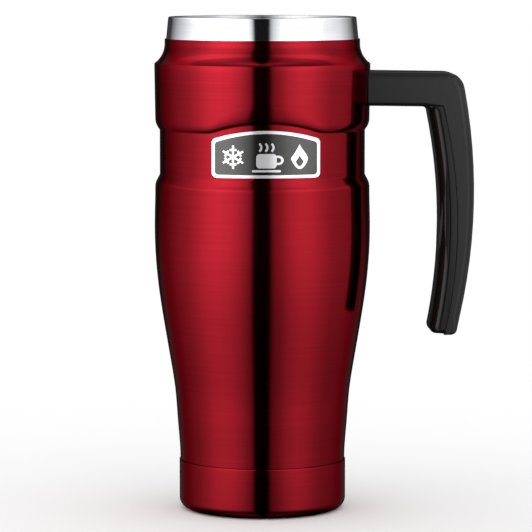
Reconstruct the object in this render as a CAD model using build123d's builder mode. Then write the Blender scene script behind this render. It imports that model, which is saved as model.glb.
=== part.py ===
"""Insulated travel mug with a cantilever handle. Millimetres, +Z up.

The origin is on the mug's axis, on the surface that it stands on.
The badge faces -Y and the handle points along +X.
"""

from build123d import *
from math import cos, radians, sin
import os

# ---- outer sleeve: radii and heights of its outline ----
sheet = 0.6
neck_r = 36.22
neck_top_z = 175.3
cove_top_z = 173.5
band_top_r = 40.05
band_top_z = 166.2
band_low_r = 39.75
band_low_z = 145.05
recess_r = 38.1
recess_top_z = 141.7
recess_low_z = 125.0
flare_r = 39.3
flare_z = 122.8
body_top_r = 39.83
body_top_z = 120.5
body_points = [
    (40.05, 109.0),
    (39.80, 95.8),
    (38.54, 82.3),
    (36.48, 68.8),
    (34.19, 55.3),
    (32.50, 44.0),
    (31.62, 32.6),
]
foot_r = 30.87
seam_z = 18.95
flare_arc_mid = (39.71, 121.6)
corner_drop = 0.25

# ---- arch that lifts the recess's upper step over the badge ----
arch_rise = 4.2
arch_half_angle = 31.0
arch_sections = 11
arch_reach = 34.0
arch_depth = 6.0

# ---- mouth ring and liner ----
rim_z = 183.4
ring_top_r = 34.85
ring_lip = 0.55
ring_wall = 0.6
ring_low_z = 168.6
ring_bend_z = 175.5
liner_wall = 0.5
liner_neck_r = 33.6
ledge_z = 167.5
land_r = 32.0
land_top_z = 165.5
land_low_z = 158.5
liner_body_r = 35.6
liner_body_top_z = 150.0
liner_taper_z = 98.0
shoulder_pull = 1.2
foot_pull = 1.3
liner_points = [
    (34.35, 81.0),
    (32.45, 67.6),
    (30.30, 54.6),
    (28.70, 43.6),
    (27.85, 33.0),
]
liner_foot_r = 27.4
liner_foot_z = 22.0
liner_floor_z = 12.0
liner_floor_r = 19.0

# ---- lid thread rolled into the neck ----
thread_pitch = 5.0
thread_turns = 1.5
thread_low_z = 170.4
thread_bead = 0.9
thread_sink = 0.15

# ---- base cup ----
base_shoulder_z = 18.6
joggle_rise = 0.5
tongue_r = 30.0
tongue_top_z = 24.5
heel_r = 31.03
heel_radius = 4.0
foot_flat_r = 23.5
sump_r = 22.0
sump_z = 2.2
dimple_r = 5.0
dimple_depth = 1.6
dimple_slope = 1.5
vent_r = 0.8
seal_r = 4.1
cover_disc_r = 19.5
cover_disc_thickness = 0.5
cover_disc_edge = 0.2

# ---- vacuum space ----
foil_gap = 0.05
foil_thickness = 0.2
foil_low_z = 99.0
foil_top_z = 147.0
getter_x = 12.0
getter_r = 5.0
getter_height = 3.0
clip_thickness = 0.4
clip_width = 4.0
clip_foot = 3.0

# ---- handle ----
handle_half_depth = 10.5
handle_wall = 2.3
root_r = 40.12
arm_top_root_z = 163.4
grip_outer_top = (73.4, 162.9)
grip_outer_mid = (78.3, 116.0)
grip_outer_low = (71.6, 65.5)
shoulder_radius = 4.7
tip_radius = 1.6
seat_top = (66.3, 150.35)
seat_mid = (71.9, 108.0)
seat_low = (67.3, 65.5)
arm_low_root_z = 150.65
arm_start_x = 38.0
cavity_shoulder = (72.5, 157.3)
cavity_mouth_x = 60.0
cavity_step = 1.5
cavity_lip = 0.5
edge_round = 2.4
cover_half_depth = 9.4
cover_wall = 1.8
cover_top = (61.45, 150.4)
cover_mid = (65.68, 108.6)
cover_low = (61.35, 65.8)
cover_heel_radius = 1.6
cover_round = 3.2
cover_cavity_set = 2.8

# ---- bracket and fixings ----
bracket_half_width = 6.0
bracket_thickness = 2.2
bracket_bend_out = 3.2
bracket_bend_in = 1.0
bracket_start_x = 38.12
tongue_mid_z = 157.0
leg_x = 69.6
leg_low_z = 108.0
saddle_thickness = 1.2
saddle_width = 15.2
saddle_height = 7.2
saddle_corner = 1.2
screw_heights = (140.0, 118.0)
screw_r = 1.5
screw_play = 0.2
screw_head_r = 2.9
screw_head_height = 1.6
screw_head_edge = 0.4
screw_socket_r = 1.4
screw_socket_depth = 1.2
washer_r = 3.6
washer_thickness = 0.5
insert_r = 2.1
insert_length = 3.0
boss_r = 3.6
boss_cover = 1.65

# ---- badge ----
badge_half_width = 19.6
badge_low_z = 126.0
badge_side_z = 139.9
badge_crown_z = 143.1
badge_corner = 1.8
badge_border = 1.1
film_inset = 0.4
badge_reach = 16.0
film_thickness = 0.2
plate_thickness = 0.6
face_thickness = 0.15
emblem_thickness = 0.25
cup_z = 132.2
cup_width = 7.4
cup_height = 5.2
cup_corner = 1.3
ear_offset = (4.2, 0.3)
ear_outer = (2.0, 1.7)
ear_inner = (1.1, 0.9)
saucer_drop = 1.0
saucer_width = 10.4
saucer_height = 0.8
saucer_corner = 0.35
steam_places = (-2.2, 0.0, 2.2)
steam_sway = 0.35
steam_gap = 0.9
steam_height = 2.8
mark_z = 133.6
snow_x = -12.0
snow_span = 8.4
snow_barb_r = 2.6
snow_barb_span = 2.4
flame_x = 12.0
flame_outer = (4.6, 2.9, -1.2, -4.3)
flame_inner = (0.6, 1.3, -2.0, -3.3)
flame_lean = 0.5
line_width = 0.75

os.makedirs("parts", exist_ok=True)


def save(sub_part, name):
    """Labels a finished sub-part and writes it to its own file."""
    sub_part.part.label = name
    export_step(sub_part.part, f"parts/{name}.step")


def sleeve_outline(inset):
    """Draws the sleeve's half section down to the axis, moved in by inset."""
    lift = corner_drop * inset
    Line((0, neck_top_z), (neck_r - inset, neck_top_z))
    Line((neck_r - inset, neck_top_z), (neck_r - inset, cove_top_z))
    shoulder = (band_top_r - inset, band_top_z - 2 * lift)
    TangentArc((neck_r - inset, cove_top_z), shoulder, tangent=(0, -1))
    Line(shoulder, (band_low_r - inset, band_low_z + lift))
    Line((band_low_r - inset, band_low_z + lift), (recess_r - inset, recess_top_z + lift))
    Line((recess_r - inset, recess_top_z + lift), (recess_r - inset, recess_low_z - lift))
    Line((recess_r - inset, recess_low_z - lift), (flare_r - inset, flare_z - lift))
    ThreePointArc(
        (flare_r - inset, flare_z - lift),
        (flare_arc_mid[0] - inset, flare_arc_mid[1]),
        (body_top_r - inset, body_top_z),
    )
    body = [(body_top_r - inset, body_top_z)]
    body += [(r - inset, z) for r, z in body_points]
    body += [(foot_r - inset, seam_z)]
    Spline(*body, tangents=((0, -1), (0, -1)))
    Line((foot_r - inset, seam_z), (0, seam_z))
    Line((0, seam_z), (0, neck_top_z))


def arch_step(grow):
    """Makes the solid that lifts the recess's step in an arch, grown by grow."""
    slope = (band_low_z - recess_top_z) / (band_low_r - recess_r)
    lift = grow * (1 + slope**2) ** 0.5
    inner_r = recess_r - 2.0
    outer_r = band_top_r + 2.0
    with BuildPart() as step:
        for i in range(arch_sections):
            angle = arch_reach * (2 * i / (arch_sections - 1) - 1)
            rise = arch_rise * (1 - (angle / arch_half_angle) ** 2) + lift
            out = (sin(radians(angle)), -cos(radians(angle)), 0)
            across = (-cos(radians(angle)), -sin(radians(angle)), 0)
            radial = Plane(origin=(0, 0, 0), x_dir=out, z_dir=across)
            with BuildSketch(radial):
                with BuildLine():
                    Polyline(
                        (inner_r, recess_top_z - arch_depth),
                        (inner_r, recess_top_z + rise - slope * (recess_r - inner_r)),
                        (outer_r, recess_top_z + rise + slope * (outer_r - recess_r)),
                        (outer_r, recess_top_z - arch_depth),
                        close=True,
                    )
                make_face()
        loft()
        Cylinder(recess_r - grow, 2 * rim_z, mode=Mode.SUBTRACT)
    return step.part


# ---- outer_shell: pressed and lacquered sleeve ----
with BuildPart() as shell_hollow:
    with BuildSketch(Plane.XZ):
        with BuildLine():
            sleeve_outline(sheet)
        make_face()
    revolve(axis=Axis.Z)
    add(arch_step(sheet), mode=Mode.SUBTRACT)

with BuildPart() as outer_shell:
    with BuildSketch(Plane.XZ):
        with BuildLine():
            sleeve_outline(0)
        make_face()
    revolve(axis=Axis.Z)
    add(arch_step(0), mode=Mode.SUBTRACT)
    add(shell_hollow.part, mode=Mode.SUBTRACT)
save(outer_shell, "outer_shell")

# ---- mouth_ring: bare collar between the sleeve and the liner ----
with BuildPart() as mouth_ring:
    tuck_r = neck_r - sheet
    lip_r = liner_neck_r + liner_wall
    with BuildSketch(Plane.XZ):
        with BuildLine():
            Line((lip_r, rim_z), (ring_top_r - ring_lip, rim_z))
            TangentArc(
                (ring_top_r - ring_lip, rim_z),
                (ring_top_r, rim_z - ring_lip),
                tangent=(1, 0),
            )
            Polyline(
                (ring_top_r, rim_z - ring_lip),
                (tuck_r, ring_bend_z),
                (tuck_r, ring_low_z),
                (tuck_r - ring_wall, ring_low_z),
                (tuck_r - ring_wall, ring_bend_z),
                (ring_top_r - ring_wall, rim_z - 2 * ring_wall),
                (lip_r, rim_z - 1.5 * ring_wall),
                (lip_r, rim_z),
            )
        make_face()
    revolve(axis=Axis.Z)
save(mouth_ring, "mouth_ring")


def liner_outline(grow):
    """Draws the liner's half section down to the axis, moved out by grow."""
    drop = corner_drop * grow
    Line((0, rim_z), (liner_neck_r + grow, rim_z))
    Polyline(
        (liner_neck_r + grow, rim_z),
        (liner_neck_r + grow, ledge_z - drop),
        (land_r + grow, land_top_z - drop),
        (land_r + grow, land_low_z + drop),
    )
    Spline(
        (land_r + grow, land_low_z + drop),
        (liner_body_r + grow, liner_body_top_z + drop),
        tangents=((0, -1), (0, -1)),
        tangent_scalars=(shoulder_pull, shoulder_pull),
    )
    Line((liner_body_r + grow, liner_body_top_z + drop), (liner_body_r + grow, liner_taper_z))
    wall = [(liner_body_r + grow, liner_taper_z)]
    wall += [(r + grow, z) for r, z in liner_points]
    wall += [(liner_foot_r + grow, liner_foot_z)]
    Spline(*wall, tangents=((0, -1), (0, -1)))
    Spline(
        (liner_foot_r + grow, liner_foot_z),
        (liner_floor_r, liner_floor_z - grow),
        tangents=((0, -1), (-1, 0)),
        tangent_scalars=(foot_pull, foot_pull),
    )
    Line((liner_floor_r, liner_floor_z - grow), (0, liner_floor_z - grow))
    Line((0, liner_floor_z - grow), (0, rim_z))


# ---- inner_liner: deep-drawn cup with the lid's thread in its neck ----
with BuildPart() as neck_thread:
    with BuildLine() as thread_path:
        Helix(
            pitch=thread_pitch,
            height=thread_turns * thread_pitch,
            radius=liner_neck_r + thread_sink,
            center=(0, 0, thread_low_z),
        )
    with BuildSketch(Plane(origin=thread_path.line @ 0, z_dir=thread_path.line % 0)):
        Circle(thread_bead)
    sweep(is_frenet=True)
    with BuildSketch(Plane.XY.offset(ledge_z)):
        Circle(liner_neck_r + liner_wall / 2)
    extrude(amount=rim_z - ledge_z, mode=Mode.INTERSECT)

with BuildPart() as inner_liner:
    with BuildSketch(Plane.XZ):
        with BuildLine():
            liner_outline(liner_wall)
        make_face()
    revolve(axis=Axis.Z)
    with BuildSketch(Plane.XZ):
        with BuildLine():
            liner_outline(0)
        make_face()
    revolve(axis=Axis.Z, mode=Mode.SUBTRACT)
    add(neck_thread.part)
save(inner_liner, "inner_liner")

# ---- base_cup: pressed bottom, joggled into the sleeve ----
with BuildPart() as base_cup:
    with BuildSketch(Plane.XZ):
        with BuildLine() as base_line:
            Polyline(
                (tongue_r, tongue_top_z),
                (tongue_r, base_shoulder_z + joggle_rise),
                (foot_r, base_shoulder_z),
                (heel_r, heel_radius),
            )
            TangentArc((heel_r, heel_radius), (heel_r - heel_radius, 0), tangent=(0, -1))
            Polyline(
                (heel_r - heel_radius, 0),
                (foot_flat_r, 0),
                (sump_r, sump_z),
                (dimple_r + dimple_slope, sump_z),
                (dimple_r, sump_z + dimple_depth),
                (vent_r, sump_z + dimple_depth),
                (vent_r, sump_z + dimple_depth + sheet),
                (dimple_r + sheet / 2, sump_z + dimple_depth + sheet),
                (dimple_r + dimple_slope + sheet / 2, sump_z + sheet),
                (sump_r + sheet / 2, sump_z + sheet),
                (foot_flat_r + sheet / 2, sheet),
                (heel_r - heel_radius, sheet),
            )
            TangentArc(
                (heel_r - heel_radius, sheet),
                (heel_r - sheet, heel_radius),
                tangent=(1, 0),
            )
            Polyline(
                (heel_r - sheet, heel_radius),
                (foot_r - sheet, base_shoulder_z - sheet / 2),
                (tongue_r - sheet, base_shoulder_z + joggle_rise - sheet / 2),
                (tongue_r - sheet, tongue_top_z),
                (tongue_r, tongue_top_z),
            )
        make_face()
    revolve(axis=Axis.Z)
save(base_cup, "base_cup")

# ---- vacuum_seal and seal_cover: they close the evacuation hole ----
with BuildPart() as vacuum_seal:
    with BuildSketch(Plane.XY.offset(sump_z + sheet)):
        Circle(seal_r)
    extrude(amount=dimple_depth - sheet)
save(vacuum_seal, "vacuum_seal")

with BuildPart() as seal_cover:
    with BuildSketch(Plane.XY.offset(sump_z - cover_disc_thickness)):
        Circle(cover_disc_r)
    extrude(amount=cover_disc_thickness)
    chamfer(seal_cover.faces().sort_by(Axis.Z)[0].edges(), length=cover_disc_edge)
save(seal_cover, "seal_cover")

# ---- radiation_foil: copper wrap on the liner's straight wall ----
with BuildPart() as radiation_foil:
    foil_r = liner_body_r + liner_wall + foil_gap
    with BuildSketch(Plane.XY.offset(foil_low_z)):
        Circle(foil_r + foil_thickness)
        Circle(foil_r, mode=Mode.SUBTRACT)
    extrude(amount=foil_top_z - foil_low_z)
save(radiation_foil, "radiation_foil")

# ---- getter_pill and getter_clip, under the liner's floor ----
clip_top_z = liner_floor_z - liner_wall
pill_low_z = clip_top_z - clip_thickness - getter_height
with BuildPart() as getter_pill:
    with BuildSketch(Plane.XY.offset(pill_low_z)):
        with Locations((getter_x, 0)):
            Circle(getter_r)
    extrude(amount=getter_height)
save(getter_pill, "getter_pill")

with BuildPart() as getter_clip:
    inner_half = getter_r + foil_gap
    outer_half = inner_half + clip_thickness
    with BuildSketch(Plane.XZ):
        with BuildLine():
            Polyline(
                (getter_x - outer_half - clip_foot, clip_top_z),
                (getter_x - inner_half, clip_top_z),
                (getter_x - inner_half, pill_low_z),
                (getter_x + inner_half, pill_low_z),
                (getter_x + inner_half, clip_top_z),
                (getter_x + outer_half + clip_foot, clip_top_z),
                (getter_x + outer_half + clip_foot, clip_top_z - clip_thickness),
                (getter_x + outer_half, clip_top_z - clip_thickness),
                (getter_x + outer_half, pill_low_z - clip_thickness),
                (getter_x - outer_half, pill_low_z - clip_thickness),
                (getter_x - outer_half, clip_top_z - clip_thickness),
                (getter_x - outer_half - clip_foot, clip_top_z - clip_thickness),
                close=True,
            )
        make_face()
    extrude(amount=clip_width / 2, both=True)
save(getter_clip, "getter_clip")

# ---- handle_shell: arm and grip in one hollow moulding ----
leg_face_x = leg_x + bracket_thickness
with BuildPart() as handle_shell:
    with BuildSketch(Plane.XZ):
        with BuildLine():
            Line((arm_start_x, arm_top_root_z), grip_outer_top)
            ThreePointArc(grip_outer_top, grip_outer_mid, grip_outer_low)
            Line(grip_outer_low, seat_low)
            ThreePointArc(seat_low, seat_mid, seat_top)
            Polyline(seat_top, (arm_start_x, arm_low_root_z), (arm_start_x, arm_top_root_z))
        make_face()
        fillet(vertices().sort_by_distance(grip_outer_top)[0], radius=shoulder_radius)
        fillet(vertices().sort_by_distance(grip_outer_low)[0], radius=tip_radius)
    extrude(amount=handle_half_depth, both=True)
    outer_rim = (
        handle_shell.edges()
        .filter_by(lambda e: abs(abs(e.center().Y) - handle_half_depth) < 0.01)
        .filter_by(lambda e: e.center().X > seat_mid[0] + 1 or e.center().Z > grip_outer_top[1])
        .filter_by(lambda e: e.center().Z > grip_outer_low[1] + tip_radius)
    )
    fillet(outer_rim, radius=edge_round)
    Cylinder(root_r, 2 * rim_z, mode=Mode.SUBTRACT)
    with BuildSketch(Plane.XZ):
        with BuildLine():
            Polyline(
                (arm_start_x, arm_top_root_z - handle_wall),
                (grip_outer_top[0] - shoulder_radius, grip_outer_top[1] - handle_wall),
                cavity_shoulder,
            )
            ThreePointArc(
                cavity_shoulder,
                (grip_outer_mid[0] - handle_wall, grip_outer_mid[1]),
                (grip_outer_low[0] - handle_wall, grip_outer_low[1] + handle_wall),
            )
            Polyline(
                (grip_outer_low[0] - handle_wall, grip_outer_low[1] + handle_wall),
                (cavity_mouth_x, grip_outer_low[1] + handle_wall),
                (cavity_mouth_x, seat_top[1] - cavity_step),
                (seat_top[0] + cavity_step, seat_top[1] - cavity_step),
                (seat_top[0] + cavity_lip, arm_low_root_z + handle_wall),
                (arm_start_x, arm_low_root_z + handle_wall),
                (arm_start_x, arm_top_root_z - handle_wall),
            )
        make_face()
    extrude(amount=handle_half_depth - handle_wall, both=True, mode=Mode.SUBTRACT)
    with Locations(*[Plane(origin=(leg_face_x, 0, z), z_dir=(1, 0, 0)) for z in screw_heights]):
        Cylinder(
            boss_r,
            grip_outer_mid[0] - boss_cover - leg_face_x,
            align=(Align.CENTER, Align.CENTER, Align.MIN),
        )
        Cylinder(
            insert_r,
            insert_length,
            align=(Align.CENTER, Align.CENTER, Align.MIN),
            mode=Mode.SUBTRACT,
        )
save(handle_shell, "handle_shell")

# ---- grip_cover: snaps over the inside of the grip and hides the fixings ----
with BuildPart() as grip_cover:
    with BuildSketch(Plane.XZ):
        with BuildLine():
            ThreePointArc(seat_low, seat_mid, seat_top)
            Line(seat_top, cover_top)
            ThreePointArc(cover_top, cover_mid, cover_low)
            Line(cover_low, seat_low)
        make_face()
        fillet(vertices().sort_by_distance(cover_low)[0], radius=cover_heel_radius)
    extrude(amount=cover_half_depth, both=True)
    nose = (
        grip_cover.edges()
        .filter_by(GeomType.CIRCLE)
        .filter_by(lambda e: e.center().X < cover_mid[0] + 1 and e.length > 50)
    )
    fillet(nose, radius=cover_round)
    with BuildSketch(Plane.XZ):
        with BuildLine():
            ThreePointArc(
                (cover_low[0] + cover_cavity_set, cover_low[1] + 2 * cover_wall),
                (cover_mid[0] + cover_wall, cover_mid[1]),
                (cover_top[0] + cover_wall, cover_top[1] - 2 * cover_wall),
            )
            Polyline(
                (cover_top[0] + cover_wall, cover_top[1] - 2 * cover_wall),
                (grip_outer_mid[0], cover_top[1] - 2 * cover_wall),
                (grip_outer_mid[0], cover_low[1] + 2 * cover_wall),
                (cover_low[0] + cover_cavity_set, cover_low[1] + 2 * cover_wall),
            )
        make_face()
    extrude(amount=cover_half_depth - cover_wall, both=True, mode=Mode.SUBTRACT)
save(grip_cover, "grip_cover")

# ---- handle_bracket: bent steel strip inside the arm and the grip ----
saddle_r = root_r + saddle_thickness
tongue_low_z = tongue_mid_z - bracket_thickness / 2
with BuildPart() as handle_bracket:
    with BuildSketch(Plane.XZ):
        with BuildLine():
            Polyline(
                (bracket_start_x, tongue_low_z + bracket_thickness),
                (leg_face_x, tongue_low_z + bracket_thickness),
                (leg_face_x, leg_low_z),
                (leg_x, leg_low_z),
                (leg_x, tongue_low_z),
                (bracket_start_x, tongue_low_z),
                close=True,
            )
        make_face()
        outer_bend = (leg_face_x, tongue_low_z + bracket_thickness)
        fillet(vertices().sort_by_distance(outer_bend)[0], radius=bracket_bend_out)
        fillet(vertices().sort_by_distance((leg_x, tongue_low_z))[0], radius=bracket_bend_in)
    extrude(amount=bracket_half_width, both=True)
    Cylinder(saddle_r, 2 * rim_z, mode=Mode.SUBTRACT)
    with Locations(*[Plane(origin=(leg_x, 0, z), z_dir=(1, 0, 0)) for z in screw_heights]):
        Cylinder(screw_r + screw_play, 4 * bracket_thickness, mode=Mode.SUBTRACT)
save(handle_bracket, "handle_bracket")

# ---- bracket_saddle: curved plate welded on the sleeve, inside the arm ----
with BuildPart() as bracket_saddle:
    with BuildSketch(Plane.YZ):
        with Locations((0, tongue_mid_z)):
            RectangleRounded(saddle_width, saddle_height, saddle_corner)
    extrude(amount=2 * saddle_r)
    with BuildSketch(Plane.XY, mode=Mode.PRIVATE) as saddle_band:
        Circle(saddle_r)
        Circle(root_r, mode=Mode.SUBTRACT)
    extrude(saddle_band.sketch, amount=rim_z, mode=Mode.INTERSECT)
save(bracket_saddle, "bracket_saddle")

# ---- handle_screws, screw_washers and boss_inserts: two of each ----
screw_planes = [Plane(origin=(leg_x, 0, z), z_dir=(1, 0, 0)) for z in screw_heights]
with BuildPart() as screw_washers:
    for plane in screw_planes:
        with BuildSketch(plane.offset(-washer_thickness)):
            Circle(washer_r)
            Circle(screw_r + screw_play / 2, mode=Mode.SUBTRACT)
        extrude(amount=washer_thickness)
save(screw_washers, "screw_washers")

with BuildPart() as boss_inserts:
    for plane in screw_planes:
        with BuildSketch(plane.offset(bracket_thickness)):
            Circle(insert_r)
            Circle(screw_r, mode=Mode.SUBTRACT)
        extrude(amount=insert_length)
save(boss_inserts, "boss_inserts")

with BuildPart() as handle_screws:
    for plane in screw_planes:
        with BuildSketch(plane.offset(-washer_thickness - screw_head_height)):
            Circle(screw_head_r)
        extrude(amount=screw_head_height)
        with BuildSketch(plane.offset(-washer_thickness)):
            Circle(screw_r)
        extrude(amount=washer_thickness + bracket_thickness + insert_length)
        with BuildSketch(plane.offset(-washer_thickness - screw_head_height)):
            RegularPolygon(radius=screw_socket_r, side_count=6)
        extrude(amount=screw_socket_depth, mode=Mode.SUBTRACT)
    tops = handle_screws.faces().filter_by(Plane.YZ).group_by(Axis.X)[0]
    chamfer(tops.edges().filter_by(GeomType.CIRCLE), length=screw_head_edge)
save(handle_screws, "handle_screws")


# ---- badge: film, plate with its border, dark field and raised picture ----
film_r = recess_r + film_thickness
plate_r = film_r + plate_thickness
face_r = plate_r + face_thickness
emblem_r = face_r + emblem_thickness
front = Plane.XZ.offset(emblem_r + 1 - badge_reach)


def badge_outline(inset):
    """Returns the badge's outline as seen from the front, moved in by inset."""
    half = badge_half_width - inset
    side = badge_side_z - inset
    with BuildSketch(front) as outline:
        with BuildLine():
            Polyline(
                (-half, side),
                (-half, badge_low_z + inset),
                (half, badge_low_z + inset),
                (half, side),
            )
            ThreePointArc((half, side), (0, badge_crown_z - inset), (-half, side))
        make_face()
        fillet(outline.vertices(), radius=badge_corner - inset / 2)
    return outline.sketch


def curved_layer(outline, inner_r, outer_r):
    """Returns what an outline seen from the front cuts from a round wall."""
    with BuildPart() as layer:
        extrude(outline, amount=badge_reach)
        with BuildSketch(Plane.XY, mode=Mode.PRIVATE) as wall:
            Circle(outer_r)
            Circle(inner_r, mode=Mode.SUBTRACT)
        extrude(wall.sketch, amount=rim_z, mode=Mode.INTERSECT)
    return layer.part


def flame_outline(tip, half_width, belly, foot):
    """Draws a flame from its tip, widest at its belly; heights are from mark_z."""
    Spline(
        (flame_x, mark_z + tip),
        (flame_x + half_width, mark_z + belly),
        (flame_x, mark_z + foot),
        (flame_x - half_width, mark_z + belly),
        (flame_x, mark_z + tip),
        tangents=((flame_lean, -1), (flame_lean, 1)),
    )


def picture_outline():
    """Returns a steaming cup between a flame and a snowflake, seen from the front."""
    with BuildSketch(front) as picture:
        with Locations((ear_offset[0], cup_z + ear_offset[1])):
            Ellipse(*ear_outer)
            Ellipse(*ear_inner, mode=Mode.SUBTRACT)
        with Locations((0, cup_z)):
            RectangleRounded(cup_width, cup_height, cup_corner)
        with Locations((0, cup_z - cup_height / 2 - saucer_drop)):
            RectangleRounded(saucer_width, saucer_height, saucer_corner)
        for x in steam_places:
            with BuildLine():
                foot = (x - steam_sway, cup_z + cup_height / 2 + steam_gap)
                middle = (x + steam_sway, foot[1] + steam_height / 2)
                Spline(foot, middle, (foot[0], foot[1] + steam_height))
            trace(line_width=line_width)
        with Locations((snow_x, mark_z)):
            for turn in (0, 60, 120):
                Rectangle(line_width, snow_span, rotation=turn)
            with PolarLocations(snow_barb_r, 6, start_angle=90):
                Rectangle(line_width, snow_barb_span)
        with BuildLine():
            flame_outline(*flame_outer)
        make_face()
        with BuildLine():
            flame_outline(*flame_inner)
        make_face(mode=Mode.SUBTRACT)
    return picture.sketch


with BuildPart() as badge_adhesive:
    add(curved_layer(badge_outline(film_inset), recess_r, film_r))
save(badge_adhesive, "badge_adhesive")

with BuildPart() as badge_plate:
    add(curved_layer(badge_outline(0), film_r, face_r))
    add(curved_layer(badge_outline(badge_border), plate_r, emblem_r), mode=Mode.SUBTRACT)
save(badge_plate, "badge_plate")

with BuildPart() as badge_face:
    add(curved_layer(badge_outline(badge_border), plate_r, face_r))
save(badge_face, "badge_face")

with BuildPart() as badge_emblem:
    add(curved_layer(picture_outline(), face_r, emblem_r))
save(badge_emblem, "badge_emblem")
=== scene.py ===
"""Insulated travel mug with a one-armed handle, put together piece by piece.

Each section works in millimetres. A piece is turned to metres as its mesh is written.
"""

from math import asin, atan2, copysign, cos, pi, radians, sin, sqrt, tan, tau

import bmesh
import bpy
import numpy as np
from mathutils import Matrix, Vector


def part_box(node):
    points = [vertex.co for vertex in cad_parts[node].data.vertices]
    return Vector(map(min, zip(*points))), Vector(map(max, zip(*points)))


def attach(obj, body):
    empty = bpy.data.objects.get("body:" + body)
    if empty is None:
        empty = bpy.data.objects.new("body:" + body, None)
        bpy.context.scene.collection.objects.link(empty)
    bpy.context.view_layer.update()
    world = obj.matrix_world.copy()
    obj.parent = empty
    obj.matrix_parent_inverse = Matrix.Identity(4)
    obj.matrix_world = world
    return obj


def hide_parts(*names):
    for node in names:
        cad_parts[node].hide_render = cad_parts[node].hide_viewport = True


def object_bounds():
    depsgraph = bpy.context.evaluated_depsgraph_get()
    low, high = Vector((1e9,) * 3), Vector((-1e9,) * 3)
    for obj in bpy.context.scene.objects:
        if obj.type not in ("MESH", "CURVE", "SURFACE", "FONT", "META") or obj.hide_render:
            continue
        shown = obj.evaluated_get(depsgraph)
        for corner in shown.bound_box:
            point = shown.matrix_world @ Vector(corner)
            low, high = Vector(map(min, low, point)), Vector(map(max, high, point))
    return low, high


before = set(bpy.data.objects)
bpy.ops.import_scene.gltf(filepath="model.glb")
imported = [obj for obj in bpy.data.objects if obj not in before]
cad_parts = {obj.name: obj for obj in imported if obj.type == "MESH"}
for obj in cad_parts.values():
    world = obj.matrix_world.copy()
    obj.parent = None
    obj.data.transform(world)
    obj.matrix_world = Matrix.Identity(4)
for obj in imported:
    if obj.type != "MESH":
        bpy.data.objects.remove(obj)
cad_box = [list(corner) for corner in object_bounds()]

# ---- Camera ----
# A long lens a little above the rim looks slightly down on the mug, from a step to the
# left of the badge's own centre line.
stand_off = 1203.0
eye_height = 206.0
eye_azimuth = radians(-2.2)
look_down = radians(5.48)
look_right = radians(0.065)
lens_length = 219.2
film_width = 36.0
sight_limit = 60000.0

camera_data = bpy.data.cameras.new("studio_camera")
camera_data.lens = lens_length
camera_data.sensor_width = film_width
camera_data.clip_end = sight_limit / 1000
camera = bpy.data.objects.new("studio_camera", camera_data)
bpy.context.scene.collection.objects.link(camera)
camera.location = Vector(
    (sin(eye_azimuth) * stand_off, -cos(eye_azimuth) * stand_off, eye_height)
) / 1000
camera.rotation_euler = (pi / 2 - look_down, 0, eye_azimuth - look_right)
bpy.context.scene.camera = camera

# ---- Studio ----
# A pale room and floor give an even soft light. For the shine, a round tent of glowing
# cloth stands about the mug: bright to the left and right of the camera, dark between
# and behind, and only reflections show it.


def linear(colour):
    """Turns an sRGB hex colour into linear red, green, blue and alpha."""
    parts = [int(colour[i : i + 2], 16) / 255 for i in (0, 2, 4)]
    return [c / 12.92 if c <= 0.04045 else ((c + 0.055) / 1.055) ** 2.4 for c in parts] + [1.0]


def add_node(tree, kind, inputs=None, **settings):
    """Adds a node, sets its properties, and fills or links its inputs."""
    node = tree.nodes.new(kind)
    for key, value in settings.items():
        setattr(node, key, value)
    for key, value in (inputs or {}).items():
        if isinstance(value, bpy.types.NodeSocket):
            tree.links.new(value, node.inputs[key])
        else:
            node.inputs[key].default_value = value
    return node


def set_stops(ramp_node, stops):
    """Fills a colour ramp with (position, colour or grey level) stops."""
    elements = ramp_node.color_ramp.elements
    for i, (position, colour) in enumerate(stops):
        stop = elements[i] if i < 2 else elements.new(position)
        stop.position = position
        stop.color = colour if isinstance(colour, (list, tuple)) else (colour, colour, colour, 1.0)


tent_r = 260.0
tent_low_z = -400.0
tent_high_z = 700.0
tent_height = tent_high_z - tent_low_z
tent_strength = 3.2
round_facets = 96
room_brightness = 1.1
floor_r = 25000.0
floor_gap = 0.1
# Degrees to the right of the badge, and the share of the full glow there.
glow_around = [
    (-180, 0.02),
    (-165, 0.012),
    (-140, 0.012),
    (-122, 0.13),
    (-104, 0.25),
    (-81, 0.44),
    (-68, 0.67),
    (-56, 0.93),
    (-45, 1.00),
    (-34, 0.90),
    (-24, 0.66),
    (-15, 0.36),
    (-12, 0.20),
    (-10.5, 0.003),
    (5, 0.003),
    (7, 0.16),
    (10, 0.27),
    (16, 0.38),
    (25, 0.64),
    (36, 0.79),
    (47, 0.73),
    (58, 0.54),
    (70, 0.38),
    (97, 0.28),
    (118, 0.13),
    (135, 0.012),
    (165, 0.012),
    (180, 0.02),
]
# Height on the tent, and the share there.
glow_upward = [
    (-400, 0.08),
    (-330, 0.02),
    (-240, 0.02),
    (-180, 0.14),
    (-120, 0.36),
    (-66, 0.50),
    (-36, 0.56),
    (-2, 0.68),
    (62, 0.90),
    (146, 1.00),
    (162, 1.35),
    (182, 1.30),
    (215, 0.98),
    (310, 0.95),
    (345, 1.30),
    (430, 1.30),
    (470, 0.73),
    (700, 0.45),
]
# Height on the tent, and how much further apart the two bright sides stand there.
glow_spread = [(-400, 1.18), (-40, 1.18), (110, 1.0), (200, 1.0), (330, 1.35), (700, 1.7)]

world = bpy.data.worlds.new("pale_room")
bpy.context.scene.world = world
world.use_nodes = True
room_light = world.node_tree.nodes["Background"].inputs
room_light["Color"].default_value = (1, 1, 1, 1)
room_light["Strength"].default_value = room_brightness
world.cycles_visibility.glossy = False
bpy.context.scene.view_settings.view_transform = "Standard"

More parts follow.
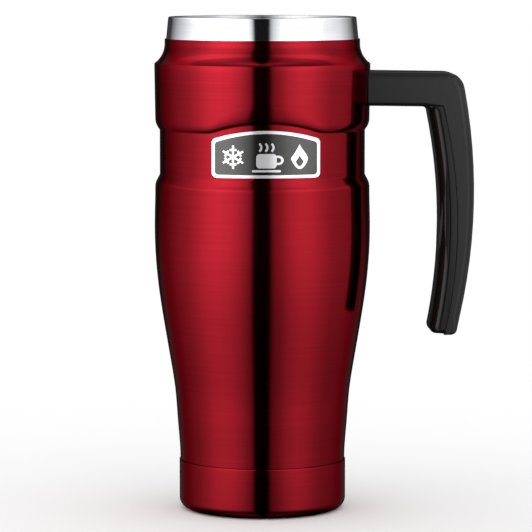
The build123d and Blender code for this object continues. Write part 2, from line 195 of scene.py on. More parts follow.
tent_bm = bmesh.new()
bmesh.ops.create_cone(
    tent_bm,
    cap_ends=True,
    segments=round_facets,
    radius1=tent_r / 1000,
    radius2=tent_r / 1000,
    depth=tent_height / 1000,
    matrix=Matrix.Translation((0, 0, (tent_high_z + tent_low_z) / 2000)),
)
tent_mesh = bpy.data.meshes.new("glowing_tent")
tent_bm.to_mesh(tent_mesh)
tent_bm.free()
tent = bpy.data.objects.new("glowing_tent", tent_mesh)
bpy.context.scene.collection.objects.link(tent)
tent.visible_camera = False
tent.visible_diffuse = False
tent.visible_transmission = False
tent.visible_shadow = False

tent_cloth = bpy.data.materials.new("glowing_cloth")
tent_cloth.use_nodes = True
tree = tent_cloth.node_tree
tree.nodes.clear()
spot = add_node(
    tree, "ShaderNodeSeparateXYZ", {0: add_node(tree, "ShaderNodeTexCoord").outputs["Object"]}
)
toward = add_node(tree, "ShaderNodeMath", {0: spot.outputs["Y"], 1: -1.0}, operation="MULTIPLY")
turned = add_node(
    tree, "ShaderNodeMath", {0: spot.outputs["X"], 1: toward.outputs[0]}, operation="ARCTAN2"
)
share_upward = add_node(
    tree,
    "ShaderNodeMapRange",
    {
        "Value": spot.outputs["Z"],
        "From Min": tent_low_z / 1000,
        "From Max": tent_high_z / 1000,
    },
)
squeeze = add_node(tree, "ShaderNodeValToRGB", {0: share_upward.outputs[0]})
set_stops(squeeze, [((z - tent_low_z) / tent_height, 1 / spread) for z, spread in glow_spread])
pattern_turn = add_node(
    tree, "ShaderNodeMath", {0: turned.outputs[0], 1: squeeze.outputs[0]}, operation="MULTIPLY"
)
share_around = add_node(
    tree, "ShaderNodeMapRange", {"Value": pattern_turn.outputs[0], "From Min": -pi, "From Max": pi}
)
around_ramp = add_node(tree, "ShaderNodeValToRGB", {0: share_around.outputs[0]})
set_stops(around_ramp, [((a + 180) / 360, share) for a, share in glow_around])
upward_ramp = add_node(tree, "ShaderNodeValToRGB", {0: share_upward.outputs[0]})
set_stops(upward_ramp, [((z - tent_low_z) / tent_height, share) for z, share in glow_upward])
glow = add_node(
    tree,
    "ShaderNodeMath",
    {0: around_ramp.outputs[0], 1: upward_ramp.outputs[0]},
    operation="MULTIPLY",
)
lamp = add_node(tree, "ShaderNodeEmission", {"Color": glow.outputs[0], "Strength": tent_strength})
add_node(tree, "ShaderNodeOutputMaterial", {"Surface": lamp.outputs[0]})
tent_mesh.materials.append(tent_cloth)


def start_material(name, **values):
    """Starts a material with shader values and returns it, its node tree and its shader."""
    material = bpy.data.materials.new(name)
    material.use_nodes = True
    shader = material.node_tree.nodes["Principled BSDF"]
    for key, value in values.items():
        shader.inputs[key.replace("_", " ")].default_value = value
    return material, material.node_tree, shader


floor_bm = bmesh.new()
bmesh.ops.create_circle(floor_bm, cap_ends=True, segments=round_facets, radius=floor_r / 1000)
floor_mesh = bpy.data.meshes.new("pale_floor")
floor_bm.to_mesh(floor_mesh)
floor_bm.free()
floor = bpy.data.objects.new("pale_floor", floor_mesh)
bpy.context.scene.collection.objects.link(floor)
floor.location.z = cad_box[0][2] - floor_gap / 1000
floor.visible_glossy = False
floor_paint, _, _ = start_material(
    "matt_white_paint", Base_Color=linear("f6f6f6"), Roughness=1.0, Specular_IOR_Level=0.0
)
floor_mesh.materials.append(floor_paint)

# ---- Sleeve ----
# The outer wall is a drawn stainless tube: a necked mouth, a shoulder band, a rolled
# recess that arches up over the badge, and a body that narrows to fit a cup holder.
# It is polished, then sprayed with clear red lacquer, so the steel shines through it.
turn_steps = 288
weld_gap = 0.0001
crease_angle = radians(35.0)
sheet = 0.6
neck_r = 36.22
neck_top_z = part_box("outer_shell")[1].z * 1000
lip_round = 0.2
cove_top_z = 173.5
shoulder = (40.05, 166.2)
shoulder_round = 0.5
band_top = (40.05, 164.7)
band_low = (39.77, 145.9)
recess_r = 38.1
recess_top_z = 141.7
recess_top_round = 1.0
recess_low_z = 125.1
recess_low_round = 0.5
recess_flat = (140.5, 125.9)
flare = (39.3, 122.8)
# The sleeve comes down to the base cup's shoulder, a hair inside it.
seam_z = 18.70
hem_round = 0.1
body_run = [
    (39.83, 120.4),
    (40.05, 109.0),
    (39.80, 95.8),
    (38.54, 82.3),
    (36.48, 68.8),
    (34.19, 55.3),
    (32.50, 44.0),
    (31.62, 32.6),
    (30.70, seam_z),
]
arch_rise = 3.7
arch_flare = 2.4
arch_half_angle = radians(31.0)
arch_low_z = 127.0
arch_high_z = 153.0
arch_tail = 0.88
cove_steps = 14
band_steps = 20
roll_steps = 12
recess_steps = 16
flare_steps = 8


def upright_arc(upright, far, steps):
    """Lists points on the arc that leaves upright straight up or down and ends at far."""
    across, up = far[0] - upright[0], far[1] - upright[1]
    radius = (across**2 + up**2) / (2 * abs(across))
    sweep = asin(abs(up) / radius)
    points = []
    for k in range(steps + 1):
        angle = sweep * k / steps
        over = copysign(radius * (1 - cos(angle)), across)
        along = copysign(radius * sin(angle), up)
        points.append((upright[0] + over, upright[1] + along))
    return points


def straight(start, end, steps):
    """Lists evenly spaced points from start up to, but without, end."""
    return [
        (start[0] + (end[0] - start[0]) * k / steps, start[1] + (end[1] - start[1]) * k / steps)
        for k in range(steps)
    ]


def fair_curve(points, steps=5):
    """Lists points on the fair curve through points, upright at both of its ends."""
    r, z = np.array(points).T
    gap = np.diff(z)
    slope = np.diff(r) / gap
    left = np.eye(len(points))
    right = np.zeros(len(points))
    for i in range(1, len(points) - 1):
        left[i, i - 1 : i + 2] = gap[i], 2 * (gap[i - 1] + gap[i]), gap[i - 1]
        right[i] = 3 * (gap[i] * slope[i - 1] + gap[i - 1] * slope[i])
    lean = np.linalg.solve(left, right)
    run = []
    for i, length in enumerate(gap):
        for t in np.arange(steps) / steps:
            near = r[i] + (r[i + 1] - r[i]) * t * t * (3 - 2 * t)
            bow = length * t * (1 - t) * (lean[i] * (1 - t) - lean[i + 1] * t)
            run.append((float(near + bow), float(z[i] + length * t)))
    return run + [points[-1]]


def rounded(corners, steps=5):
    """Goes round closed (across, up, radius) corners and turns each radius into an arc."""
    points = []
    for i, (across, up, radius) in enumerate(corners):
        here = Vector((across, up))
        back = Vector(corners[i - 1][:2]) - here
        ahead = Vector(corners[(i + 1) % len(corners)][:2]) - here
        if radius == 0:
            points.append(here)
            continue
        half = back.angle(ahead) / 2
        centre = here + (back.normalized() + ahead.normalized()).normalized() * radius / sin(half)
        start = here + back.normalized() * radius / tan(half) - centre
        end = here + ahead.normalized() * radius / tan(half) - centre
        for k in range(steps + 1):
            points.append(centre + start.lerp(end, k / steps).normalized() * radius)
    return points


def sharp(points):
    """Gives points a corner radius of 0."""
    return [(*point, 0) for point in points]


def spun(outline):
    """Spins a closed half section about the mug's axis into a bmesh."""
    bm = bmesh.new()
    ring = [bm.verts.new((point[0], 0, point[1])) for point in outline]
    edges = [bm.edges.new(pair) for pair in zip(ring, ring[1:] + ring[:1])]
    bmesh.ops.spin(
        bm,
        geom=ring + edges,
        cent=(0, 0, 0),
        axis=(0, 0, 1),
        angle=tau,
        steps=turn_steps,
        use_merge=True,
    )
    bmesh.ops.remove_doubles(bm, verts=bm.verts, dist=weld_gap)
    bmesh.ops.recalc_face_normals(bm, faces=bm.faces)
    return bm


def settle(name, bm, material, slot, *nodes):
    """Writes a bmesh in millimetres as a smooth piece on the mug that stands for CAD nodes."""
    bmesh.ops.scale(bm, vec=(0.001, 0.001, 0.001), verts=bm.verts)
    mesh = bpy.data.meshes.new(name)
    bm.to_mesh(mesh)
    bm.free()
    mesh.polygons.foreach_set("use_smooth", [True] * len(mesh.polygons))
    mesh.set_sharp_from_angle(angle=crease_angle)
    mesh.materials.append(material)
    piece = bpy.data.objects.new(name, mesh)
    bpy.context.scene.collection.objects.link(piece)
    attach(piece, "root")
    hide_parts(*nodes)
    return piece


def ease(share):
    """Runs smoothly from 0 to 1 as share does."""
    share = min(max(share, 0.0), 1.0)
    return share * share * (3 - 2 * share)


def arch_lift(x, y, z):
    """Says how far the badge's arch lifts the sleeve at a place on it."""
    share = abs(atan2(x, -y)) / arch_half_angle
    if share < arch_tail:
        height = 1 - share**2
    else:
        height = arch_tail * max(1 / arch_tail - share, 0) ** 2 / (1 / arch_tail - arch_tail)
    from_below = ease((z - arch_low_z) / (recess_top_z - arch_low_z))
    from_above = ease((arch_high_z - z) / (arch_high_z - band_low[1]))
    over_step = ease((z - recess_top_z) / (band_low[1] - recess_top_z))
    return (arch_rise + arch_flare * over_step) * height * from_below * from_above


outside = [(neck_r, neck_top_z, lip_round)]
outside += sharp(upright_arc((neck_r, cove_top_z), shoulder, cove_steps))[:-1]
outside += [(*shoulder, shoulder_round)]
outside += sharp(straight(band_top, band_low, band_steps))
outside += sharp(upright_arc(band_low, (recess_r, recess_top_z), roll_steps))[:-1]
outside += [(recess_r, recess_top_z, recess_top_round)]
outside += sharp(straight((recess_r, recess_flat[0]), (recess_r, recess_flat[1]), recess_steps))
outside += [(recess_r, recess_low_z, recess_low_round)]
outside += sharp(upright_arc(body_run[0], flare, flare_steps)[::-1])[:-1]
outside += sharp(fair_curve(body_run))[:-1]
outside += [(*body_run[-1], hem_round)]
inside = [(r - sheet, z, 0) for r, z, _ in reversed(outside)]
sleeve_bm = spun(rounded(outside + inside))
for vert in sleeve_bm.verts:
    vert.co.z += arch_lift(*vert.co)
sleeve_bm.normal_update()


def steps_of(tree, across, upward=None):
    """Returns object coordinates that count 1 for each given number of millimetres."""
    gaps = (across, across, upward or across)
    here = add_node(tree, "ShaderNodeTexCoord").outputs["Object"]
    scale = tuple(1000 / gap for gap in gaps)
    return add_node(tree, "ShaderNodeMapping", {"Vector": here, "Scale": scale}).outputs[0]


def follow(tree, shader, pattern, shades, gloss, relief=None):
    """Lets a pattern vary a shader's colour, its roughness and, in mm, its relief."""
    low, high = 0.3, 0.7  # where most of a noise pattern lies
    colours = add_node(tree, "ShaderNodeValToRGB", {0: pattern})
    set_stops(colours, [(low, linear(shades[0])), (high, linear(shades[1]))])
    tree.links.new(colours.outputs[0], shader.inputs["Base Color"])
    reach = {"From Min": low, "From Max": high, "To Min": gloss[0], "To Max": gloss[1]}
    rough = add_node(tree, "ShaderNodeMapRange", {"Value": pattern, **reach})
    tree.links.new(rough.outputs[0], shader.inputs["Roughness"])
    if relief:
        bump = add_node(tree, "ShaderNodeBump", {"Height": pattern, "Distance": relief / 1000})
        tree.links.new(bump.outputs[0], shader.inputs["Normal"])


# Clear red lacquer over polished steel: a coloured mirror with the faint rings of the
# polishing wheel left in it. Rings 0.5 mm apart are drawn, coarser than the real ones.
ring_gap = 0.5
ring_length = 40.0
red_lacquer, tree, shader = start_material(
    "red_lacquer_over_polished_steel", Metallic=1.0, Specular_Tint=linear("d9b8b8")
)
coordinates = steps_of(tree, ring_length, ring_gap)
rings = add_node(tree, "ShaderNodeTexNoise", {"Vector": coordinates, "Scale": 1.0, "Detail": 3.0})
follow(tree, shader, rings.outputs["Fac"], ("76121b", "7b141e"), (0.09, 0.12), relief=0.0005)

settle("lacquered_sleeve", sleeve_bm, red_lacquer, "red_lacquer", "outer_shell")

# ---- Mouth collar ----
# A bare stainless collar closes the gap between the sleeve and the liner. It is turned
# over at the rim, leans in a little, and is polished bright.
rim_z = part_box("mouth_ring")[1].z * 1000
collar_top_r = 34.85
collar_low_r = neck_r - sheet
collar_low_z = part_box("mouth_ring")[0].z * 1000
mouth_r = 34.1
rim_inner_round = 0.3
rim_outer_round = 0.55
collar_bend = 0.4
collar_bend_lift = 0.2
hem_depth = 1.5 * sheet
collar_bm = spun(
    rounded(
        [
            (mouth_r, rim_z, rim_inner_round),
            (collar_top_r, rim_z, rim_outer_round),
            (collar_low_r, neck_top_z + collar_bend_lift, collar_bend),
            (collar_low_r, collar_low_z, 0),
            (collar_low_r - sheet, collar_low_z, 0),
            (collar_low_r - sheet, neck_top_z, 0),
            (collar_top_r - sheet, rim_z - 2 * sheet, 0),
            (mouth_r, rim_z - hem_depth, 0),
        ]
    )
)

# Mirror-polished stainless: a bright, slightly cool grey, with hair-fine turning marks.
turning_gap = 0.4
turning_length = 30.0
bright_steel, tree, shader = start_material("mirror_polished_stainless", Metallic=1.0)
coordinates = steps_of(tree, turning_length, turning_gap)
marks = add_node(tree, "ShaderNodeTexNoise", {"Vector": coordinates, "Scale": 1.0, "Detail": 2.0})
follow(tree, shader, marks.outputs["Fac"], ("dfe0e5", "e6e7eb"), (0.05, 0.07))
settle("mouth_collar", collar_bm, bright_steel, "polished_steel", "mouth_ring")

# ---- Liner ----
# The inner cup is deep-drawn stainless, 0.5 mm thick. The lid's thread is rolled into
# its neck, and a ledge and a narrow land below it take the lid's gasket.
liner_wall = 0.5
liner_lip_drop = 0.1
liner_neck_r = 33.6
neck_run = (180.5, 168.3)
ledge_z = 167.5
ledge_round = 0.5
land_r = 32.0
land_top_z = 165.5
land_round = 0.6
land_end_z = 158.9
land_low_z = 158.5
bowl_top = (35.6, 150.0)
bowl_run = [
    (35.6, 98.0),
    (34.35, 81.0),
    (32.45, 67.6),
    (30.30, 54.6),
    (28.70, 43.6),
    (27.85, 33.0),
    (27.4, 22.0),
]
liner_floor_z = 12.0
liner_floor_r = 19.0
axis_gap = 0.05
slack = 0.01
thread_pitch = 5.0
thread_turns = 1.5
thread_low_z = 170.4
thread_depth = 0.75
thread_half_width = 1.15
thread_fade = 0.06
neck_steps = 34
bend_steps = 8


def thread_ridge(x, y, z):
    """Says how far the rolled thread stands in from the neck at a place on it."""
    turn = (atan2(y, x) % tau) / tau
    ridge = 0.0
    for lap in range(3):
        along = turn + lap
        if 0 <= along <= thread_turns:
            off = abs(z - thread_low_z - along * thread_pitch) / thread_half_width
            fade = ease(min(along, thread_turns - along) / thread_fade)
            ridge = max(ridge, thread_depth * fade * (1 - ease(off)))
    return ridge


bowl = [(mouth_r - liner_wall, rim_z - liner_lip_drop, lip_round)]
bowl += sharp(straight((liner_neck_r, neck_run[0]), (liner_neck_r, neck_run[1]), neck_steps))
bowl += [(liner_neck_r, ledge_z, ledge_round), (land_r, land_top_z, land_round)]
bowl += [(land_r, land_end_z, 0)]
bend_mid = ((land_r + bowl_top[0]) / 2, (land_low_z + bowl_top[1]) / 2)
bowl += sharp(upright_arc((land_r, land_low_z), bend_mid, bend_steps))[:-1]
bowl += sharp(upright_arc(bowl_top, bend_mid, bend_steps)[::-1])
bowl += sharp(straight(bowl_top, bowl_run[0], bend_steps))[1:]
bowl += sharp(fair_curve(bowl_run))
bowl_low_r, bowl_low_z = bowl_run[-1]
for k in range(1, bend_steps + 1):
    angle = pi / 2 * k / bend_steps
    across = liner_floor_r + (bowl_low_r - liner_floor_r) * cos(angle)
    bowl += [(across, bowl_low_z - (bowl_low_z - liner_floor_z) * sin(angle), 0)]
bowl += [(axis_gap, liner_floor_z, 0)]
back = [(axis_gap, liner_floor_z - liner_wall, 0)]
for r, z, _ in reversed(bowl[:-1]):
    back += [(r + liner_wall, z - (liner_wall if z < bowl_low_z else 0), 0)]
liner_bm = spun(rounded(bowl + back))
for vert in liner_bm.verts:
    flat = Vector((vert.co.x, vert.co.y, 0))
    if flat.length < liner_neck_r + slack and vert.co.z > ledge_z + ledge_round:
        vert.co -= flat.normalized() * thread_ridge(*vert.co)
liner_bm.normal_update()

# Satin-brushed stainless: the brush turns round inside the cup, so it leaves rings.
brush_gap = 0.6
brush_length = 20.0
brushed_steel, tree, shader = start_material("satin_brushed_stainless", Metallic=1.0)
coordinates = steps_of(tree, brush_length, brush_gap)
strokes = add_node(tree, "ShaderNodeTexNoise", {"Vector": coordinates, "Scale": 1.0, "Detail": 4.0})
follow(tree, shader, strokes.outputs["Fac"], ("a6a8ab", "bcbec1"), (0.2, 0.34), relief=0.004)
settle("threaded_liner", liner_bm, brushed_steel, "liner_steel", "inner_liner")

# ---- Foil and getter ----
# Out of sight in the vacuum, copper foil is wrapped round the liner to throw heat back,
# and a pill of getter metal in a spring clip mops up the last of the gas.


def dress(material, *node_names):
    """Gives a material to CAD nodes whose shapes are right as they are."""
    for node_name in node_names:
        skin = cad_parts[node_name].data
        skin.materials.clear()
        skin.materials.append(material)


# Rolled copper foil, soft and hand-wrapped, so it is crinkled every few millimetres.
crinkle_size = 3.0
copper, tree, shader = start_material("crinkled_copper_foil", Metallic=1.0)
coordinates = steps_of(tree, crinkle_size)
crinkles = add_node(tree, "ShaderNodeTexVoronoi", {"Vector": coordinates, "Scale": 1.0})
follow(tree, shader, crinkles.outputs["Distance"], ("d98a5c", "b9683f"), (0.18, 0.3), relief=0.05)
dress(copper, "radiation_foil")

# Pressed and sintered zirconium powder: dull, dark and grainy, in grains of 0.15 mm.
powder_size = 0.15
sintered, tree, shader = start_material("sintered_zirconium", Metallic=0.8)
coordinates = steps_of(tree, powder_size)
powder = add_node(tree, "ShaderNodeTexNoise", {"Vector": coordinates, "Scale": 1.0, "Detail": 2.0})
follow(tree, shader, powder.outputs["Fac"], ("4a4845", "6a6763"), (0.6, 0.8), relief=0.03)
dress(sintered, "getter_pill")

# ---- Vacuum seal ----
# The mug is pumped out through a hole in the base. A bead of solder glass is melted over
# it in the furnace, and a pressed steel disc is stuck over the dimple to guard it.

# Lead-free solder glass: brown-grey and glossy, clouded with fine bubbles of 0.3 mm.
bubble_size = 0.3
solder_glass, tree, shader = start_material("clouded_solder_glass")
coordinates = steps_of(tree, bubble_size)
bubbles = add_node(tree, "ShaderNodeTexNoise", {"Vector": coordinates, "Scale": 1.0, "Detail": 1.0})
follow(tree, shader, bubbles.outputs["Fac"], ("3a332c", "564c42"), (0.08, 0.2), relief=0.01)
dress(solder_glass, "vacuum_seal")

# Cold-rolled stainless as it comes off the coil, with rolling lines 0.35 mm apart.
rolling_gap = 0.35
rolling_length = 12.0
rolled_steel, tree, shader = start_material("cold_rolled_stainless", Metallic=1.0)
here = add_node(tree, "ShaderNodeTexCoord").outputs["Object"]
scale = (1000 / rolling_gap, 1000 / rolling_length, 1000 / rolling_length)
coordinates = add_node(tree, "ShaderNodeMapping", {"Vector": here, "Scale": scale}).outputs[0]
lines = add_node(tree, "ShaderNodeTexNoise", {"Vector": coordinates, "Scale": 1.0, "Detail": 3.0})
follow(tree, shader, lines.outputs["Fac"], ("a3a5a7", "b7b9bb"), (0.26, 0.38), relief=0.002)
dress(rolled_steel, "seal_cover", "getter_clip")

# ---- Base cup ----
# The bottom is a pressed steel cup, lacquered like the sleeve. Its top is joggled to slip
# inside the sleeve, which leaves a fine seam, and it stands on a narrow rolled ring.
base_top_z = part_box("base_cup")[1].z * 1000
base_shoulder = (31.03, 18.7)
base_shoulder_round = 0.55
tongue_r = 30.0
heel_r = 31.03
heel_top_z = 12.0
heel_radius = 4.0
heel_steps = 10
foot_flat_r = 23.5
press_round = 0.6
sump = (22.0, 2.2)
sump_round = 0.8
dimple_r = 5.0
dimple_depth = 1.6
dimple_slope = 1.5
dimple_mouth_r = dimple_r + dimple_slope
vent_r = 0.8
dimple_z = sump[1] + dimple_depth
base_bm = spun(
    rounded(
        [
            (tongue_r, base_top_z, 0),
            (tongue_r, base_shoulder[1], 0),
            (*base_shoulder, base_shoulder_round),
            (heel_r, heel_top_z, 0),
            (heel_r, 0, heel_radius),
            (foot_flat_r, 0, press_round),
            (*sump, sump_round),
            (dimple_mouth_r, sump[1], press_round),
            (dimple_r, dimple_z, press_round),
            (vent_r, dimple_z, 0),
            (vent_r, dimple_z + sheet, 0),
            (dimple_r, dimple_z + sheet, 0),
            (dimple_mouth_r, sump[1] + sheet, 0),
            (sump[0] + sheet / 2, sump[1] + sheet, 0),
            (foot_flat_r + sheet / 2, sheet, 0),
            (heel_r - sheet, sheet, heel_radius - sheet),
            (heel_r - sheet, heel_top_z, 0),
            (base_shoulder[0] - sheet, base_shoulder[1] - sheet, 0),
            (tongue_r - sheet, base_shoulder[1] - sheet, 0),
            (tongue_r - sheet, base_top_z, 0),
        ],
        steps=heel_steps,
    )
)
settle("base_cup_lacquered", base_bm, red_lacquer, "red_lacquer", "base_cup")

# ---- Bracket and fasteners ----
# A saddle is welded to the sleeve and a bent strap stands out from it. Two screws hold
# the handle to it, through washers, in brass inserts. The handle hides all of them.

# Zinc-plated steel strip: blue-grey, with the faint spangle of the plating, 0.8 mm wide.
spangle_size = 0.8
zinc, tree, shader = start_material("zinc_plated_strip", Metallic=1.0)
coordinates = steps_of(tree, spangle_size)
spangle = add_node(tree, "ShaderNodeTexVoronoi", {"Vector": coordinates, "Scale": 1.0})
follow(tree, shader, spangle.outputs["Distance"], ("8f959c", "a9afb5"), (0.28, 0.42), relief=0.003)
dress(zinc, "handle_bracket", "bracket_saddle")

# Cold-headed, tumbled stainless screws and washers: even fine marks, 0.2 mm across.
tumble_size = 0.2
tumbled_steel, tree, shader = start_material("tumbled_stainless", Metallic=1.0)
coordinates = steps_of(tree, tumble_size)
dents = add_node(tree, "ShaderNodeTexNoise", {"Vector": coordinates, "Scale": 1.0, "Detail": 2.0})
follow(tree, shader, dents.outputs["Fac"], ("9b9c9e", "b6b7b9"), (0.22, 0.34), relief=0.004)
dress(tumbled_steel, "handle_screws", "screw_washers")

# Free-cutting brass, turned and knurled, slightly tarnished between the 0.25 mm marks.
knurl_gap = 0.25
brass, tree, shader = start_material("turned_brass", Metallic=1.0)
coordinates = steps_of(tree, knurl_gap)
tarnish = add_node(tree, "ShaderNodeTexNoise", {"Vector": coordinates, "Scale": 1.0, "Detail": 2.0})
follow(tree, shader, tarnish.outputs["Fac"], ("b08a45", "cda65c"), (0.2, 0.32), relief=0.005)
dress(brass, "boss_inserts")

# ---- Handle moulding ----
# The arm and the grip are one hollow ABS moulding with a fine spark-eroded skin. It is
# open towards the mug, where the grip cover closes it, and the arm's end hugs the sleeve.
handle_half_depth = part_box("handle_shell")[1].y * 1000
root_r = 40.12
arm_top_root = (root_r, 163.4)
arm_top_bend = (46.0, 163.3)
grip_top = (73.4, 162.9)
grip_mid = (78.3, 116.0)
grip_low = (71.6, 65.5)
seat_low = (67.3, 65.5)
seat_mid = (71.9, 108.0)
seat_top = (66.3, 150.35)
arm_low_run = [(60.0, 150.4), (52.0, 150.5), (45.0, 150.6)]
arm_low_root = (root_r, 150.65)
arm_middle_z = 157.0
arm_steps = 3
grip_steps = 14
seat_steps = 16
arc_steps = 7


def three_point_arc(start, middle, end, steps):
    """Lists points on the arc from start through middle up to end."""
    a, b, c = Vector(start), Vector(middle), Vector(end)
    turn_matrix = Matrix((b - a, c - a))
    halves = Vector(((b.dot(b) - a.dot(a)) / 2, (c.dot(c) - a.dot(a)) / 2))
    centre = turn_matrix.inverted() @ halves
    sweep = (a - centre).angle_signed(c - centre)
    return [
        tuple(centre + Matrix.Rotation(-sweep * k / steps, 2) @ (a - centre))
        for k in range(steps + 1)
    ]


def slab(outline, half_depth, layers):
    """Raises a closed side outline into a solid slab of even layers along Y."""
    bm = bmesh.new()
    face = bm.faces.new([bm.verts.new((x, -half_depth, z)) for x, z in outline])
    ring = [face]
    for _ in range(layers):
        grown = bmesh.ops.extrude_face_region(bm, geom=ring, use_keep_orig=ring == [face])
        moved = [e for e in grown["geom"] if isinstance(e, bmesh.types.BMVert)]
        bmesh.ops.translate(bm, vec=(0, 2 * half_depth / layers, 0), verts=moved)
        ring = [e for e in grown["geom"] if isinstance(e, bmesh.types.BMFace)]
    bmesh.ops.recalc_face_normals(bm, faces=bm.faces)
    return bm


# Half of a slab's layers make its two rounded edges.
slab_layers = 32
flat_share = 0.5


def round_rims(bm, half_depth, inward_at):
    """Rounds a slab's front and back edges. inward_at gives the way in, as long as the radius."""
    for vert in bm.verts:
        inward = inward_at(vert.co.x, vert.co.z)
        share = abs(vert.co.y) / half_depth
        turn = pi / 2 * max(share - flat_share, 0) / (1 - flat_share)
        level = (half_depth - inward.length) * min(share / flat_share, 1)
        vert.co.x += inward.x * (1 - cos(turn))
        vert.co.y = copysign(level + inward.length * sin(turn), vert.co.y)
        vert.co.z += inward.y * (1 - cos(turn))
    bmesh.ops.recalc_face_normals(bm, faces=bm.faces)


def keep_flats(piece):
    """Makes a piece's big flat faces shade flat right up to their rounded edges."""
    weighing = piece.modifiers.new("flat_faces", "WEIGHTED_NORMAL")
    weighing.keep_sharp = True


corner_round = 7.0
tip_round = 2.4
rim_round = 2.8
belly_round = 1.7
tip_rim = 1.2
parting_round = 0.6
# Where one edge radius gives way to the next.
tip_high_z = grip_low[1] + 3
tip_x = seat_low[0] + 0.5
arm_shoulder_z = 162.0
arm_under_z = 150.0
grip_back_x = 72.0
grip_out_x = seat_mid[0] + 0.5
belly_end_x = seat_top[0] - 1
root_end_x = root_r + 0.1
side = sharp([arm_top_root] + straight(arm_top_bend, grip_top, arm_steps))
side += [(*grip_top, corner_round)]
side += sharp(three_point_arc(grip_top, grip_mid, grip_low, grip_steps)[1:-1])
side += [(*grip_low, tip_round), (*seat_low, 0)]
side += sharp(three_point_arc(seat_low, seat_mid, seat_top, seat_steps)[1:])
side += sharp(arm_low_run + [arm_low_root])
side = rounded(side, steps=arc_steps)


def rim_radius(x, z):
    """Says how round the moulding's front and back edges are at a place on its outline."""
    if z < tip_high_z and x > tip_x:
        return tip_rim
    if z > arm_shoulder_z or x > grip_back_x or x > grip_out_x and z < arm_under_z:
        return rim_round
    if z > arm_under_z and x < belly_end_x:
        return belly_round
    return parting_round


inward_ways = []
for i, here in enumerate(side):
    run = side[(i + 1) % len(side)] - side[i - 1]
    inward = Vector((run.y, -run.x)).normalized()
    if here.x < root_end_x:
        inward = Vector((0, -1 if here.y > arm_middle_z else 1))
    inward_ways.append((here, inward * rim_radius(*here)))


def shell_inward(x, z):
    """Returns the way in at the outline's nearest point, as long as the radius there."""
    return min(inward_ways, key=lambda way: (way[0] - Vector((x, z))).length)[1]


handle_bm = slab(side, handle_half_depth, slab_layers)
round_rims(handle_bm, handle_half_depth, shell_inward)
for vert in handle_bm.verts:
    if vert.co.x < root_end_x:
        vert.co.x = sqrt(root_r**2 - vert.co.y**2)

# Black ABS with a fine spark-eroded skin: a soft, broad shine over near-black. The grain
# is about 0.3 mm across.
grain_size = 0.3
satin_abs, tree, shader = start_material("satin_black_abs", Specular_IOR_Level=0.25)
coordinates = steps_of(tree, grain_size)
grain = add_node(tree, "ShaderNodeTexNoise", {"Vector": coordinates, "Scale": 1.0, "Detail": 3.0})
follow(tree, shader, grain.outputs["Fac"], ("0b0b0c", "101011"), (0.2, 0.24), relief=0.0012)
handle = settle("handle_moulding", handle_bm, satin_abs, "handle_plastic", "handle_shell")
keep_flats(handle)

# ---- Grip cover ----
# A second moulding snaps into the open side of the grip and hides the screws. Its inner
# face is flat, with rounded edges that the fingers close on.
cover_half_depth = 9.9
cover_top = (61.45, 148.0)
cover_mid = (65.68, 108.6)
cover_low = (61.35, 65.8)
cover_end_z = 151.0
cover_inner_x = cover_mid[0] + 0.6
cover_corner = 4.2
cover_heel = 2.6
arm_fillet = 2.2
fillet_steps = 5
cover_lap = 1.0
lap_drop = 1.5
heel_lift = 1.2
heel_high_z = cover_low[1] + 0.8
lap_round = 0.4
cover_side = [(*cover_low, cover_heel)]
cover_side += sharp(three_point_arc(cover_low, cover_mid, cover_top, seat_steps)[1:])
for k in range(1, fillet_steps + 1):
    angle = pi / 2 * k / fillet_steps
    across = cover_top[0] - arm_fillet * (1 - cos(angle))
    cover_side.append((across, cover_top[1] + arm_fillet * sin(angle), 0))
cover_side += [(cover_top[0] - arm_fillet, cover_end_z, 0)]
cover_side += [(seat_top[0] + cover_lap, cover_end_z, 0)]
lap_top = (seat_top[0] + cover_lap, seat_top[1] - lap_drop)
lap_mid = (seat_mid[0] + cover_lap, seat_mid[1])
lap_low = (seat_low[0] + cover_lap, cover_low[1])
cover_side += sharp(three_point_arc(lap_top, lap_mid, lap_low, seat_steps))


def cover_inward(x, z):
    """Returns the way in at a place on the cover's outline, as long as the radius there."""
    across = cover_corner if x < cover_inner_x else lap_round
    return Vector((across, heel_lift if z < heel_high_z else 0))


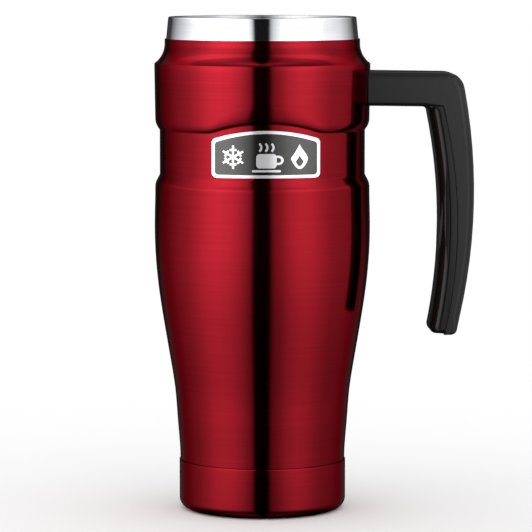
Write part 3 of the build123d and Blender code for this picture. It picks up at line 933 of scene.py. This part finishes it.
cover_bm = slab(rounded(cover_side, steps=arc_steps), cover_half_depth, slab_layers)
round_rims(cover_bm, cover_half_depth, cover_inward)

# The same ABS, but from a smoother tool, so it is a little glossier.
smooth_gloss = (0.16, 0.2)
gloss_abs = satin_abs.copy()
gloss_abs.name = "smooth_black_abs"
for node in gloss_abs.node_tree.nodes:
    if node.type == "MAP_RANGE":
        node.inputs["To Min"].default_value = smooth_gloss[0]
        node.inputs["To Max"].default_value = smooth_gloss[1]
settle("grip_cover_moulding", cover_bm, gloss_abs, "grip_plastic", "grip_cover")

# ---- Badge ----
# A small bent plate is stuck in the recess: a polished border round a dark enamelled
# field, with a raised steaming cup between a snowflake and a flame.

# Nickel under a pearl-white lacquer: it stays pale even where the steel about it is dark.
# The specks of the pearl are about 0.2 mm.
pearl_size = 0.2
pearl_nickel, tree, shader = start_material("pearl_lacquered_nickel", Metallic=0.55)
coordinates = steps_of(tree, pearl_size)
pearls = add_node(tree, "ShaderNodeTexNoise", {"Vector": coordinates, "Scale": 1.0, "Detail": 2.0})
follow(tree, shader, pearls.outputs["Fac"], ("e6e6e8", "f2f2f4"), (0.16, 0.2))
dress(pearl_nickel, "badge_plate", "badge_emblem")

# Charcoal enamel with a fine metal flake in it, 0.25 mm across, under a smooth top.
flake_size = 0.25
charcoal_enamel, tree, shader = start_material("charcoal_flake_enamel", Metallic=0.9)
coordinates = steps_of(tree, flake_size)
flakes = add_node(tree, "ShaderNodeTexVoronoi", {"Vector": coordinates, "Scale": 1.0})
follow(tree, shader, flakes.outputs["Distance"], ("4c4c4b", "404040"), (0.14, 0.18))
dress(charcoal_enamel, "badge_face")

# Acrylic foam tape holds the plate: a matt grey foam with open cells of about 0.3 mm.
cell_size = 0.3
foam_tape, tree, shader = start_material("acrylic_foam_tape")
coordinates = steps_of(tree, cell_size)
cells = add_node(tree, "ShaderNodeTexNoise", {"Vector": coordinates, "Scale": 1.0, "Detail": 2.0})
follow(tree, shader, cells.outputs["Fac"], ("5c5c5e", "7a7a7c"), (0.6, 0.8), relief=0.05)
dress(foam_tape, "badge_adhesive")
